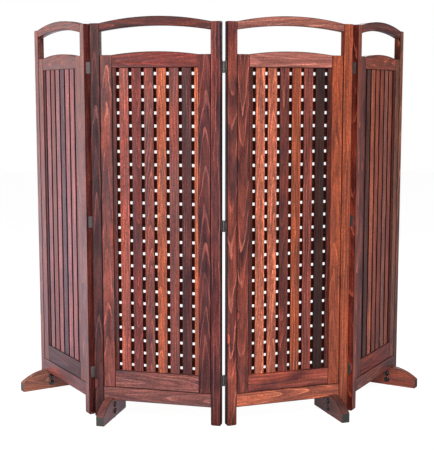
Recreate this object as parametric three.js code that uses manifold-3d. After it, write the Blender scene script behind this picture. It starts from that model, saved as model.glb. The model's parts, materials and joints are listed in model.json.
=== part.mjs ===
// A free-standing folding screen of four slatted wooden panels on bolt-on feet.
// Millimetres, +Z up. The screen stands on Z = 0 and its convex side faces -Y.
// Each panel is modelled flat in its own frame: X runs along the panel from its left edge,
// Y runs from the front face (0) to the back face, and Z is the height above the floor.

import * as THREE from "three";
import ManifoldModule from "manifold-3d";

const wasm = await ManifoldModule();
wasm.setup();
const { Manifold } = wasm;

// ---------------------------------------------------------------- driving dimensions

// Fold of each joint away from a straight wall, in degrees, as the screen stands.
const LEFT_FOLD_ANGLE = 44.5;
const CENTRE_FOLD_ANGLE = 34;
const RIGHT_FOLD_ANGLE = 40.5;

// Outer frame.
const PANEL_WIDTH = 552;
const PANEL_THICKNESS = 29;
const STILE_WIDTH = 42;
const LEG_LENGTH = 78;
const LEG_CHAMFER = 5;
const BOTTOM_RAIL_HEIGHT = 58;
const TOP_RAIL_SHOULDER = 33;
const TOP_ARCH_RISE = 24.5;
const TOP_ARCH_UNDERSIDE_RISE = 20;
const ARCH_OPENING_HEIGHT = 95;

// Inner frame, nested in the outer one.
const INNER_THICKNESS = 26;
const INNER_STILE_WIDTH = 52;
const INNER_BOTTOM_HEIGHT = 74;
const INNER_TOP_SHOULDER = 52;
const INNER_ARCH_RISE = 13;

// Lattice of flat slats: upright ones in front, cross slats glued behind them.
const SLAT_THICKNESS = 9;
const UPRIGHT_WIDTH = 40.5;
const UPRIGHT_GAP = 12.5;
const CROSS_WIDTH = 40.25;
const CROSS_GAP = 12.5;
const LATTICE_HEIGHT = 1260;

// The least width that a part slat at the end of a row may show.
const LEAST_END_SLAT = 8;

// Joinery.
const TENON_THICKNESS = 10;
const TENON_LENGTH = 20;
const TENON_SHOULDER = 6;
const INNER_TENON_LENGTH = 14;
const GROOVE_DEPTH = 8;
const TONGUE_THICKNESS = 6;
const TONGUE_LENGTH = 5;

// Feet: one board across each panel, beside the inner side of its outer leg.
// A packing pad, glued to the board, holds it off the leg.
const FOOT_LENGTH = 276;
const FOOT_THICKNESS = 34;
const FOOT_CROWN = 88;
const FOOT_NOSE_HEIGHT = 40;
const FOOT_NOSE_BEVEL = 4;
const FOOT_PAD_THICKNESS = 9;
const FOOT_PAD_MARGIN = 3;

// Two knob bolts through each foot into the leg.
const BOLT_DIAMETER = 8;
const BOLT_LENGTH = 68;
const KNOB_DIAMETER = 24;
const KNOB_RIM = 4;
const KNOB_DOME = 4;
const LOWER_BOLT_HEIGHT = 27;
const UPPER_BOLT_HEIGHT = 56;

// Butt hinges, three to a joint, screwed to the edges of the stiles.
const HINGE_HEIGHT = 48;
const HINGE_LEAF_WIDTH = 24;
const HINGE_LEAF_THICKNESS = 1.6;
const KNUCKLE_DIAMETER = 7;
const PIN_DIAMETER = 3.8;
const PIN_TO_BACK_FACE = 4;
const PANEL_GAP = 8;
const HINGE_SCREW_DIAMETER = 3.6;
const HINGE_SCREW_LENGTH = 16;
const HINGE_SCREW_SPACING = 30;
const TOP_HINGE_DROP = 178;
const MIDDLE_HINGE_HEIGHT = 832;
const BOTTOM_HINGE_HEIGHT = 188;

// Clearances.
const WOOD_CLEARANCE = 0.3;
const SEAT_CLEARANCE = 0.3;
const BOLT_CLEARANCE = 0.4;
const SCREW_CLEARANCE = 0.35;
const PIN_CLEARANCE = 0.35;
const KNUCKLE_CLEARANCE = 0.3;
const KNUCKLE_NOTCH_CLEARANCE = 0.6;

// Facets of round work.
const ARCH_SEGMENTS = 16;
const FOOT_SEGMENTS = 12;
const BOLT_SEGMENTS = 12;
const KNOB_SEGMENTS = 16;
const HINGE_SEGMENTS = 10;
const SCREW_SEGMENTS = 6;

// ---------------------------------------------------------------- derived levels

const bottomRailTop = LEG_LENGTH + BOTTOM_RAIL_HEIGHT;
const latticeBottom = bottomRailTop + INNER_BOTTOM_HEIGHT;
const latticeTop = latticeBottom + LATTICE_HEIGHT;
const innerShoulder = latticeTop + INNER_TOP_SHOULDER;
const topRailBottom = innerShoulder + ARCH_OPENING_HEIGHT;
const panelHeight = topRailBottom + TOP_RAIL_SHOULDER;

const innerLeft = STILE_WIDTH;
const innerRight = PANEL_WIDTH - STILE_WIDTH;
const latticeLeft = innerLeft + INNER_STILE_WIDTH;
const latticeRight = innerRight - INNER_STILE_WIDTH;
const midDepth = PANEL_THICKNESS / 2;
const innerFront = midDepth - INNER_THICKNESS / 2;
const latticeFront = midDepth - SLAT_THICKNESS;

const pinDepth = PANEL_THICKNESS + PIN_TO_BACK_FACE;
const pinOffset = PANEL_GAP / 2;

// ---------------------------------------------------------------- solid helpers

// A box between two corners.
function box(x0, x1, y0, y1, z0, z1) {
  return Manifold.cube([x1 - x0, y1 - y0, z1 - z0]).translate([x0, y0, z0]);
}

// A board whose outline is drawn in elevation (X, Z), from depth y0 to y1.
function board(outline, y0, y1) {
  return Manifold.extrude([outline], y1 - y0).rotate([90, 0, 0]).translate([0, y1, 0]);
}

// A board whose outline is drawn in side view (Y, Z), from x0 to x1.
function sideBoard(outline, x0, x1) {
  return Manifold.extrude([outline], x1 - x0).rotate([90, 0, 90]).translate([x0, 0, 0]);
}

// A rod along X from x0 to x1.
function rodX(x0, x1, y, z, radius, segments) {
  const rod = Manifold.cylinder(x1 - x0, radius, radius, segments);
  return rod.rotate([0, 90, 0]).translate([x0, y, z]);
}

// Points of a shallow arc from (x0, z) to (x1, z) that rises by `rise` at its middle.
function arcPoints(x0, x1, z, rise, segments) {
  const halfSpan = (x1 - x0) / 2;
  const radius = (halfSpan * halfSpan + rise * rise) / (2 * rise);
  const halfAngle = Math.asin(halfSpan / radius);
  const points = [];
  for (let i = 0; i <= segments; i += 1) {
    const angle = -halfAngle + (2 * halfAngle * i) / segments;
    const x = (x0 + x1) / 2 + radius * Math.sin(angle);
    const y = z + rise - radius * (1 - Math.cos(angle));
    points.push([x, y]);
  }
  return points;
}

// The mirror image of a solid across the middle of the panel.
function mirrored(solid) {
  return solid.mirror([1, 0, 0]).translate([PANEL_WIDTH, 0, 0]);
}

function named(name, solid, material) {
  const source = solid.getMesh();
  const geometry = new THREE.BufferGeometry();
  const positions = new Float32Array(source.numVert * 3);
  for (let i = 0; i < source.numVert; i += 1) {
    for (let axis = 0; axis < 3; axis += 1) {
      positions[3 * i + axis] = source.vertProperties[i * source.numProp + axis];
    }
  }
  geometry.setAttribute("position", new THREE.BufferAttribute(positions, 3));
  geometry.setIndex(new THREE.BufferAttribute(source.triVerts, 1));
  const mesh = new THREE.Mesh(geometry.toNonIndexed(), material);
  mesh.geometry.computeVertexNormals();
  mesh.name = name;
  return mesh;
}

function finish(name, colour, roughness, metalness) {
  return new THREE.MeshStandardMaterial({ name, color: colour, roughness, metalness });
}

const materials = {
  frame: finish("stained_frame_wood", 0x74392f, 0.45, 0),
  inner: finish("stained_inner_frame_wood", 0x7d4034, 0.45, 0),
  lattice: finish("stained_slat_wood", 0x8c4a38, 0.5, 0),
  foot: finish("stained_foot_wood", 0x7a4538, 0.5, 0),
  hinge: finish("zinc_plated_steel", 0xa8a8a2, 0.4, 0.9),
  knob: finish("black_moulded_plastic", 0x101012, 0.25, 0),
};

// ---------------------------------------------------------------- outer frame

const tenonBack = midDepth + TENON_THICKNESS / 2;
const tenonFront = midDepth - TENON_THICKNESS / 2;
const topTenonLow = topRailBottom + TENON_SHOULDER;
const topTenonHigh = panelHeight - TENON_SHOULDER;
const bottomTenonLow = LEG_LENGTH + TENON_SHOULDER;
const bottomTenonHigh = bottomRailTop - TENON_SHOULDER;

// A blind slot for a tenon that enters the left stile from its inner side.
function mortise(low, high) {
  return box(
    STILE_WIDTH - TENON_LENGTH - WOOD_CLEARANCE,
    STILE_WIDTH + WOOD_CLEARANCE,
    tenonFront - WOOD_CLEARANCE,
    tenonBack + WOOD_CLEARANCE,
    low - WOOD_CLEARANCE,
    high + WOOD_CLEARANCE,
  );
}

// Both tenons of a rail that runs between the stiles.
function tenons(low, high) {
  const left = box(
    innerLeft - TENON_LENGTH,
    innerLeft + TENON_LENGTH,
    tenonFront,
    tenonBack,
    low,
    high,
  );
  return left.add(mirrored(left));
}

const tongueFront = midDepth - TONGUE_THICKNESS / 2;
const tongueBack = midDepth + TONGUE_THICKNESS / 2;
const tongueLow = bottomRailTop + INNER_BOTTOM_HEIGHT / 2;
const tongueHigh = innerShoulder - INNER_TOP_SHOULDER / 2;

// A stile with its leg, at the left of the panel. Its hinge screws enter from the edge.
function stile({ hinged, footed }) {
  const foot = box(
    LEG_CHAMFER,
    STILE_WIDTH - LEG_CHAMFER,
    LEG_CHAMFER,
    PANEL_THICKNESS - LEG_CHAMFER,
    0,
    LEG_CHAMFER,
  );
  const shaft = box(0, STILE_WIDTH, 0, PANEL_THICKNESS, LEG_CHAMFER, panelHeight);
  const groove = box(
    STILE_WIDTH - TONGUE_LENGTH - WOOD_CLEARANCE,
    STILE_WIDTH + WOOD_CLEARANCE,
    tongueFront - WOOD_CLEARANCE,
    tongueBack + WOOD_CLEARANCE,
    tongueLow - WOOD_CLEARANCE,
    tongueHigh + WOOD_CLEARANCE,
  );
  const cuts = [
    mortise(topTenonLow, topTenonHigh),
    mortise(bottomTenonLow, bottomTenonHigh),
    groove,
  ];
  if (footed) {
    cuts.push(...boltHeights.map(legBoltHole));
  }
  if (hinged) {
    cuts.push(...hingeCentres.flatMap(screwHeights).map(pilotHole));
  }
  return Manifold.hull([foot, shaft]).subtract(Manifold.union(cuts));
}

function topRail() {
  const left = innerLeft + WOOD_CLEARANCE;
  const right = innerRight - WOOD_CLEARANCE;
  const under = arcPoints(left, right, topRailBottom, TOP_ARCH_UNDERSIDE_RISE, ARCH_SEGMENTS);
  const over = arcPoints(left, right, panelHeight, TOP_ARCH_RISE, ARCH_SEGMENTS).reverse();
  const rail = board([...under, ...over], 0, PANEL_THICKNESS);
  return rail.add(tenons(topTenonLow, topTenonHigh));
}

function bottomRail() {
  const rail = box(
    innerLeft + WOOD_CLEARANCE,
    innerRight - WOOD_CLEARANCE,
    0,
    PANEL_THICKNESS,
    LEG_LENGTH,
    bottomRailTop,
  );
  return rail.add(tenons(bottomTenonLow, bottomTenonHigh));
}

// ---------------------------------------------------------------- inner frame

const latticeBack = latticeFront + 2 * SLAT_THICKNESS;
const grooveFront = latticeFront - WOOD_CLEARANCE;
const grooveBack = latticeBack + WOOD_CLEARANCE;
const innerBack = innerFront + INNER_THICKNESS;
const innerTenonLow = latticeTop + GROOVE_DEPTH + TENON_SHOULDER;
const innerTenonHigh = innerShoulder - TENON_SHOULDER;

// The slot that holds the edges of the lattice, cut into all four inner members.
const latticeGroove = box(
  latticeLeft - GROOVE_DEPTH - WOOD_CLEARANCE,
  latticeRight + GROOVE_DEPTH + WOOD_CLEARANCE,
  grooveFront,
  grooveBack,
  latticeBottom - GROOVE_DEPTH - WOOD_CLEARANCE,
  latticeTop + GROOVE_DEPTH + WOOD_CLEARANCE,
);

// Two stiles and the bottom member, glued into one U that slides in between the outer stiles.
function innerFrame() {
  const bottom = box(
    innerLeft + WOOD_CLEARANCE,
    innerRight - WOOD_CLEARANCE,
    innerFront,
    innerBack,
    bottomRailTop + WOOD_CLEARANCE,
    latticeBottom,
  );
  const upright = box(
    innerLeft + WOOD_CLEARANCE,
    latticeLeft,
    innerFront,
    innerBack,
    bottomRailTop + WOOD_CLEARANCE,
    innerShoulder,
  );
  const tongue = box(
    innerLeft - TONGUE_LENGTH,
    innerLeft + TONGUE_LENGTH,
    tongueFront,
    tongueBack,
    tongueLow,
    tongueHigh,
  );
  const slot = box(
    latticeLeft - INNER_TENON_LENGTH - WOOD_CLEARANCE,
    latticeLeft + WOOD_CLEARANCE,
    tenonFront - WOOD_CLEARANCE,
    tenonBack + WOOD_CLEARANCE,
    innerTenonLow - WOOD_CLEARANCE,
    innerTenonHigh + WOOD_CLEARANCE,
  );
  const side = upright.add(tongue).subtract(slot);
  return Manifold.union([bottom, side, mirrored(side)]).subtract(latticeGroove);
}

// The arched member over the lattice, tenoned between the two inner stiles.
function innerTopRail() {
  const left = latticeLeft + WOOD_CLEARANCE;
  const right = latticeRight - WOOD_CLEARANCE;
  const over = arcPoints(left, right, innerShoulder, INNER_ARCH_RISE, ARCH_SEGMENTS).reverse();
  const rail = board([[left, latticeTop], [right, latticeTop], ...over], innerFront, innerBack);
  const tenon = box(
    latticeLeft - INNER_TENON_LENGTH,
    latticeLeft + INNER_TENON_LENGTH,
    tenonFront,
    tenonBack,
    innerTenonLow,
    innerTenonHigh,
  );
  return Manifold.union([rail, tenon, mirrored(tenon)]).subtract(latticeGroove);
}

// ---------------------------------------------------------------- lattice

// The full slats that fit between two levels, and the two part slats that close the row.
function slatSpans(low, high, width, gap) {
  const count = Math.floor((high - low - gap - 2 * LEAST_END_SLAT) / (width + gap));
  const field = count * width + (count + 1) * gap;
  const first = (low + high - field) / 2;
  const spans = [[low - GROOVE_DEPTH, first]];
  for (let i = 0; i < count; i += 1) {
    const start = first + gap + i * (width + gap);
    spans.push([start, start + width]);
  }
  spans.push([first + field, high + GROOVE_DEPTH]);
  return spans;
}

function lattice() {
  const left = latticeLeft - GROOVE_DEPTH;
  const right = latticeRight + GROOVE_DEPTH;
  const low = latticeBottom - GROOVE_DEPTH;
  const high = latticeTop + GROOVE_DEPTH;
  const uprights = slatSpans(latticeLeft, latticeRight, UPRIGHT_WIDTH, UPRIGHT_GAP);
  const crosses = slatSpans(latticeBottom, latticeTop, CROSS_WIDTH, CROSS_GAP);
  const front = uprights.map(([x0, x1]) => box(x0, x1, latticeFront, midDepth, low, high));
  const back = crosses.map(([z0, z1]) => box(left, right, midDepth, latticeBack, z0, z1));
  return Manifold.union([...front, ...back]);
}

// ---------------------------------------------------------------- feet and their bolts

const boltHeights = [LOWER_BOLT_HEIGHT, UPPER_BOLT_HEIGHT];
const boltRadius = BOLT_DIAMETER / 2;
const padLeft = STILE_WIDTH + SEAT_CLEARANCE;
const footLeft = padLeft + FOOT_PAD_THICKNESS;
const footRight = footLeft + FOOT_THICKNESS;
const footFront = midDepth - FOOT_LENGTH / 2;
const footBack = midDepth + FOOT_LENGTH / 2;

function legBoltHole(height) {
  const depth = BOLT_LENGTH - FOOT_THICKNESS - FOOT_PAD_THICKNESS;
  return rodX(
    STILE_WIDTH - depth - BOLT_CLEARANCE,
    STILE_WIDTH + BOLT_CLEARANCE,
    midDepth,
    height,
    boltRadius + BOLT_CLEARANCE,
    BOLT_SEGMENTS,
  );
}

// A foot board beside the left stile with its pad, notched over the crown for the bottom rail.
function foot() {
  const rise = FOOT_CROWN - FOOT_NOSE_HEIGHT;
  const crown = arcPoints(footFront, footBack, FOOT_NOSE_HEIGHT, rise, FOOT_SEGMENTS).reverse();
  const sole = [
    [footFront, FOOT_NOSE_BEVEL],
    [footFront + FOOT_NOSE_BEVEL, 0],
    [footBack - FOOT_NOSE_BEVEL, 0],
    [footBack, FOOT_NOSE_BEVEL],
  ];
  const notch = box(
    footLeft - FOOT_THICKNESS,
    footRight + FOOT_THICKNESS,
    -SEAT_CLEARANCE,
    PANEL_THICKNESS + SEAT_CLEARANCE,
    LEG_LENGTH - SEAT_CLEARANCE,
    FOOT_CROWN + SEAT_CLEARANCE,
  );
  const holes = boltHeights.map((height) =>
    rodX(
      padLeft - BOLT_CLEARANCE,
      footRight + BOLT_CLEARANCE,
      midDepth,
      height,
      boltRadius + BOLT_CLEARANCE,
      BOLT_SEGMENTS,
    ),
  );
  const pad = box(
    padLeft,
    footLeft + FOOT_PAD_THICKNESS,
    FOOT_PAD_MARGIN,
    PANEL_THICKNESS - FOOT_PAD_MARGIN,
    FOOT_PAD_MARGIN,
    LEG_LENGTH - FOOT_PAD_MARGIN,
  );
  const boardSolid = sideBoard([...sole, ...crown], footLeft, footRight);
  return boardSolid.add(pad).subtract(Manifold.union([notch, ...holes]));
}

// A bolt with a domed knob, screwed in from the inner side of the foot.
function knobBolt(height) {
  const knobRadius = KNOB_DIAMETER / 2;
  const profile = [
    [0, -BOLT_LENGTH],
    [boltRadius, -BOLT_LENGTH],
    [boltRadius, 0],
    [knobRadius * 0.92, 0],
    [knobRadius, KNOB_RIM * 0.35],
    [knobRadius, KNOB_RIM],
    [knobRadius * 0.78, KNOB_RIM + KNOB_DOME * 0.62],
    [knobRadius * 0.42, KNOB_RIM + KNOB_DOME * 0.92],
    [0, KNOB_RIM + KNOB_DOME],
  ];
  const bolt = Manifold.revolve([profile], KNOB_SEGMENTS);
  return bolt.rotate([0, 90, 0]).translate([footRight + SEAT_CLEARANCE, midDepth, height]);
}

// ---------------------------------------------------------------- hinges

const hingeCentres = [BOTTOM_HINGE_HEIGHT, MIDDLE_HINGE_HEIGHT, panelHeight - TOP_HINGE_DROP];
const knuckleRadius = KNUCKLE_DIAMETER / 2;
const pinRadius = PIN_DIAMETER / 2;
const leafInner = -pinOffset + SEAT_CLEARANCE;
const leafOuter = leafInner + HINGE_LEAF_THICKNESS;
const screwDepth = pinDepth - HINGE_LEAF_WIDTH / 2 - PIN_TO_BACK_FACE;

function screwHeights(centre) {
  return [centre - HINGE_SCREW_SPACING / 2, centre + HINGE_SCREW_SPACING / 2];
}

// A pilot hole for a hinge screw in the edge of the left stile.
function pilotHole(height) {
  return rodX(
    -SCREW_CLEARANCE,
    HINGE_SCREW_LENGTH,
    screwDepth,
    height,
    HINGE_SCREW_DIAMETER / 2 + SCREW_CLEARANCE,
    SCREW_SEGMENTS,
  );
}

// Heights of the three knuckles, measured from the middle of the hinge.
const knuckleLength = HINGE_HEIGHT / 3;
const knuckleSpans = [-1, 0, 1].map((i) => [
  (i - 0.5) * knuckleLength + (i > -1 ? KNUCKLE_CLEARANCE / 2 : 0),
  (i + 0.5) * knuckleLength - (i < 1 ? KNUCKLE_CLEARANCE / 2 : 0),
]);

// A leaf on the stile at the left of its pin, with the screws that hold it.
// The pin is the origin, and `own` lists the knuckles that belong to this leaf.
function hingeLeaf(own) {
  const plate = box(
    leafInner,
    leafOuter,
    -HINGE_LEAF_WIDTH,
    0,
    -HINGE_HEIGHT / 2,
    HINGE_HEIGHT / 2,
  );
  const reach = knuckleRadius + KNUCKLE_NOTCH_CLEARANCE;
  const notches = knuckleSpans
    .filter((span, i) => !own.includes(i))
    .map(([z0, z1]) =>
      box(
        leafInner - reach,
        leafOuter + reach,
        -reach,
        reach,
        z0 - KNUCKLE_CLEARANCE,
        z1 + KNUCKLE_CLEARANCE,
      ),
    );
  const knuckles = knuckleSpans
    .filter((span, i) => own.includes(i))
    .map(([z0, z1]) => {
      const drum = Manifold.cylinder(z1 - z0, knuckleRadius, knuckleRadius, HINGE_SEGMENTS);
      return drum.translate([0, 0, z0]);
    });
  const screws = screwHeights(0).map((height) =>
    rodX(
      leafInner - HINGE_SCREW_LENGTH + SCREW_CLEARANCE,
      leafOuter,
      screwDepth - pinDepth,
      height,
      HINGE_SCREW_DIAMETER / 2,
      SCREW_SEGMENTS,
    ),
  );
  return Manifold.union([plate.subtract(Manifold.union(notches)), ...knuckles, ...screws]);
}

// The leaf that carries the outer knuckles and the pin.
function pinLeaf() {
  const pin = Manifold.cylinder(HINGE_HEIGHT, pinRadius, pinRadius, HINGE_SEGMENTS);
  return hingeLeaf([0, 2]).add(pin.translate([0, 0, -HINGE_HEIGHT / 2]));
}

// The leaf that carries the middle knuckle, bored for the pin.
function boredLeaf() {
  const boreRadius = pinRadius + PIN_CLEARANCE;
  const bore = Manifold.cylinder(HINGE_HEIGHT, boreRadius, boreRadius, HINGE_SEGMENTS);
  return hingeLeaf([1]).subtract(bore.translate([0, 0, -HINGE_HEIGHT / 2]));
}

// A leaf for the stile at the right of the pin.
function turnedLeaf(solid) {
  return solid.mirror([1, 0, 0]);
}

// ---------------------------------------------------------------- panels

const leafNames = ["bottom", "middle", "top"];

// The panel's frame, with its pins at (-pinOffset) and (PANEL_WIDTH + pinOffset) along X.
function panel(index, { footSide, leftHinge, rightHinge }) {
  const group = new THREE.Group();
  group.name = `panel_${index}`;
  const put = (name, solid, material) => group.add(named(`${name}_${index}`, solid, material));
  const footLeftSide = footSide === "left";
  const leftStile = stile({ hinged: Boolean(leftHinge), footed: footLeftSide });
  const rightStile = stile({ hinged: Boolean(rightHinge), footed: !footLeftSide });
  put("left_stile", leftStile, materials.frame);
  put("right_stile", mirrored(rightStile), materials.frame);
  put("arched_top_rail", topRail(), materials.frame);
  put("bottom_rail", bottomRail(), materials.frame);
  put("inner_frame", innerFrame(), materials.inner);
  put("inner_top_rail", innerTopRail(), materials.inner);
  put("slat_lattice", lattice(), materials.lattice);

  const onFootSide = (solid) => (footLeftSide ? solid : mirrored(solid));
  put("foot", onFootSide(foot()), materials.foot);
  put("lower_knob_bolt", onFootSide(knobBolt(LOWER_BOLT_HEIGHT)), materials.knob);
  put("upper_knob_bolt", onFootSide(knobBolt(UPPER_BOLT_HEIGHT)), materials.knob);

  hingeCentres.forEach((height, i) => {
    if (rightHinge) {
      const leaf = pinLeaf().translate([PANEL_WIDTH + pinOffset, pinDepth, height]);
      group.add(named(`${rightHinge}_${leafNames[i]}_hinge_pin_leaf`, leaf, materials.hinge));
    }
    if (leftHinge) {
      const leaf = turnedLeaf(boredLeaf()).translate([-pinOffset, pinDepth, height]);
      group.add(named(`${leftHinge}_${leafNames[i]}_hinge_bored_leaf`, leaf, materials.hinge));
    }
  });
  return group;
}

// Turns a panel about the vertical and moves it so that its own pin lies on `pin`.
function hang(group, degrees, ownPinX, pin) {
  const angle = THREE.MathUtils.degToRad(degrees);
  const ownPin = new THREE.Vector3(ownPinX, pinDepth, 0);
  ownPin.applyAxisAngle(new THREE.Vector3(0, 0, 1), angle);
  group.rotation.z = angle;
  group.position.copy(pin).sub(ownPin);
  group.updateMatrix();
}

const leftPinX = -pinOffset;
const rightPinX = PANEL_WIDTH + pinOffset;

const panel1 = panel(1, { footSide: "left", leftHinge: null, rightHinge: "left" });
const panel2 = panel(2, { footSide: "left", leftHinge: "left", rightHinge: "centre" });
const panel3 = panel(3, { footSide: "right", leftHinge: "centre", rightHinge: "right" });
const panel4 = panel(4, { footSide: "right", leftHinge: "right", rightHinge: null });

const centrePin = new THREE.Vector3(0, 0, 0);
hang(panel2, -CENTRE_FOLD_ANGLE / 2, rightPinX, centrePin);
hang(panel3, CENTRE_FOLD_ANGLE / 2, leftPinX, centrePin);
const leftPin = new THREE.Vector3(leftPinX, pinDepth, 0).applyMatrix4(panel2.matrix);
const rightPin = new THREE.Vector3(rightPinX, pinDepth, 0).applyMatrix4(panel3.matrix);
hang(panel1, -CENTRE_FOLD_ANGLE / 2 - LEFT_FOLD_ANGLE, rightPinX, leftPin);
hang(panel4, CENTRE_FOLD_ANGLE / 2 + RIGHT_FOLD_ANGLE, leftPinX, rightPin);

// The pins' vertical lines, kept as empty objects for whoever sets up the joints.
const pins = { left_pin_line: leftPin, centre_pin_line: centrePin, right_pin_line: rightPin };
const pinLines = Object.entries(pins).map(([name, place]) => {
  const line = new THREE.Object3D();
  line.name = name;
  line.position.copy(place);
  return line;
});

const screen = new THREE.Group();
screen.name = "folding_screen";
screen.add(panel1, panel2, panel3, panel4, ...pinLines);

// The origin is the middle of the bounding box, on the floor.
const bounds = new THREE.Box3().setFromObject(screen, true);
const centre = bounds.getCenter(new THREE.Vector3());
screen.children.forEach((child) => {
  child.position.x -= centre.x;
  child.position.y -= centre.y;
});

export default screen;
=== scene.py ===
# Four-panel folding screen of stained softwood: board pieces, slat lattices, feet, hinges, stage and camera.
import json
import math
import random

import bmesh
import bpy
from mathutils import Matrix, Vector


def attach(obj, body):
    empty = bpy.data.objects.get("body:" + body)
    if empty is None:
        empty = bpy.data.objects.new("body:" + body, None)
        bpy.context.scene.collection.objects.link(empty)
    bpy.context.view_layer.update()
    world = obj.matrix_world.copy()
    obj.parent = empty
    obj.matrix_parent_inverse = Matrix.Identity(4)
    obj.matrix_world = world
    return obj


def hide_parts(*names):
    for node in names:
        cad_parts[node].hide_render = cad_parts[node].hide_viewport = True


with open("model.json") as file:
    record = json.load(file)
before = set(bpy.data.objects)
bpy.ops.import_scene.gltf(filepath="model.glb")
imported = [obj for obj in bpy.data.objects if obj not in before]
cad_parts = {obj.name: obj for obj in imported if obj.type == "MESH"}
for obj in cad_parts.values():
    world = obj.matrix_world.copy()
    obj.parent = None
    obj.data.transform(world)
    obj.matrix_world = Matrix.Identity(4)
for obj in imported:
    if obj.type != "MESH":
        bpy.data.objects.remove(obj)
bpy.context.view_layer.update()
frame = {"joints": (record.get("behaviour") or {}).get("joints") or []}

chance = random.Random(41)

# ------------------------------------------------------------------ sizes, in millimetres

# Fold of each joint away from a straight wall, in degrees.
LEFT_FOLD = 44.5
CENTRE_FOLD = 34.0
RIGHT_FOLD = 40.5

PANEL_WIDTH = 552.0
PANEL_THICKNESS = 29.0
STILE_WIDTH = 42.0
LEG_CHAMFER = 5.0
BOTTOM_RAIL_LOW = 78.0
BOTTOM_RAIL_TOP = 136.0
LATTICE_LOW = 210.0
LATTICE_TOP = 1470.0
INNER_SHOULDER = 1522.0
TOP_RAIL_LOW = 1617.0
PANEL_HEIGHT = 1650.0
TOP_RISE = 24.5
TOP_UNDER_RISE = 20.0
INNER_RISE = 13.0
INNER_STILE_WIDTH = 52.0
INNER_FRONT = 1.5
INNER_BACK = 27.5
SLAT_FRONT = 5.5
SLAT_MID = 14.5
SLAT_BACK = 23.5
UPRIGHT_WIDTH = 40.5
UPRIGHT_GAP = 12.5
UPRIGHT_COUNT = 6
CROSS_WIDTH = 40.25
CROSS_GAP = 12.5
CROSS_COUNT = 23
GROOVE = 6.0

FOOT_NEAR = 51.3
FOOT_FAR = 85.3
FOOT_FRONT = -123.5
FOOT_BACK = 152.5
FOOT_NOSE = 40.0
FOOT_CROWN = 88.0
FOOT_NOSE_BEVEL = 4.0
# The notch's walls lean by the first of these, and the crown has no step nearer to them than the second.
NOTCH_WALL = 0.2
NOTCH_CLEAR = 3.0
PAD_NEAR = 42.3
PAD_MARGIN = 3.0

BOLT_HEIGHTS = {"lower": 27.0, "upper": 56.0}
BOLT_RADIUS = 4.0
BOLT_LENGTH = 68.0
KNOB_RADIUS = 12.0
KNOB_RIM = 4.0
KNOB_DOME = 4.0
KNOB_ROLL = 1.2
DOME_START = 12.0

PIN_OFFSET = 4.0
PIN_DEPTH = 33.0
HINGE_CENTRES = {"bottom": 188.0, "middle": 832.0, "top": 1472.0}
HINGE_HEIGHT = 48.0
LEAF_WIDTH = 24.0
LEAF_OUTER = 2.1
LEAF_INNER = 3.7
KNUCKLE_RADIUS = 3.5
KNUCKLE_GAP = 0.15
KNUCKLE_ARRIS = 0.45
LEAF_CORNER = 3.0
LEAF_ARRIS = 0.3
# A leaf ends short of its knuckles, and a tab of it runs on to each of them.
LEAF_TO_KNUCKLE = 0.7
TAB_LIFT = 0.9
TAB_SHORT = 1.0
SCREW_SPACING = 30.0
SCREW_RADIUS = 3.4
SCREW_FACE_RADIUS = 2.6
SCREW_HEAD = 0.5
SCREW_RIM = 0.8
SCREW_RECESS = 0.2
SCREW_PROUD = 0.05

# The seams between boards, the slack where glued parts meet, and the rubbed arrises.
SEAM = 0.3
GLUE_LINE = 0.05
ARRIS = 1.1
STILE_ARRIS = 1.43
SLAT_ARRIS = 0.8
FOOT_ARRIS = 1.6
PAD_ARRIS = 0.8
# Points as close as this to a line or a face lie on it.
NEAR = 0.1
# How many steps or facets an arch, a foot's crown, a knob, a knuckle and a screw have.
ARCH_STEPS = 32
FOOT_STEPS = 22
DOME_STEPS = 9
KNOB_FACETS = 40
KNUCKLE_FACETS = 28
SCREW_FACETS = 24

# ------------------------------------------------------------------ where each panel stands

PIN_X = {"left": -PIN_OFFSET, "right": PANEL_WIDTH + PIN_OFFSET}
pin_places = {joint["name"]: Vector(joint["pos_m"]) for joint in frame["joints"]}


def panel_place(turn, edge, joint):
    """From a panel's own millimetres to the frame: the panel is turned, and hangs on one pin line."""
    spin = Matrix.Rotation(math.radians(turn), 4, "Z") @ Matrix.Scale(0.001, 4)
    at_pin = spin @ Vector((PIN_X[edge], PIN_DEPTH, 0))
    pin = pin_places[joint]
    return Matrix.Translation((pin.x - at_pin.x, pin.y - at_pin.y, 0)) @ spin


PLACE = {
    1: panel_place(-CENTRE_FOLD / 2 - LEFT_FOLD, "right", "left_fold"),
    2: panel_place(-CENTRE_FOLD / 2, "right", "centre_fold"),
    3: panel_place(CENTRE_FOLD / 2, "left", "centre_fold"),
    4: panel_place(CENTRE_FOLD / 2 + RIGHT_FOLD, "left", "right_fold"),
}

# ------------------------------------------------------------------ colours and materials


def linear(code):
    """A six-digit sRGB colour as linear RGBA."""
    parts = [int(code[i : i + 2], 16) / 255 for i in (1, 3, 5)]
    return [c / 12.92 if c <= 0.04045 else ((c + 0.055) / 1.055) ** 2.4 for c in parts] + [1.0]


# Oil stain takes differently on each board, so boards of one screen run from amber to near black.
STAINS = {
    "amber": "#b05e46",
    "rust": "#98492f",
    "sienna": "#93594d",
    "dusty": "#aa665a",
    "brick": "#823e33",
    "clay": "#75433d",
    "garnet": "#893928",
    "maroon": "#672b26",
    "russet": "#71352c",
    "plum": "#5a2926",
    "oxblood": "#52231d",
    "umber": "#472423",
    "ebony": "#371e19",
    "slate": "#58383e",
    # Not a stain: painted shade, near black, for the pockets between the slats and the slats' sides.
    "painted_shade": "#30100a",
    "mauve": "#854a4b",
    "cedar": "#934b3b",
    "hazel": "#85503f",
    "walnut": "#5a332b",
}
# The darkest stains soak in and leave the coat above them thin: what part of its shine is left.
DULLED = {"slate": 0.6, "umber": 0.6, "plum": 0.6, "maroon": 0.8, "oxblood": 0.8}
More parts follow.
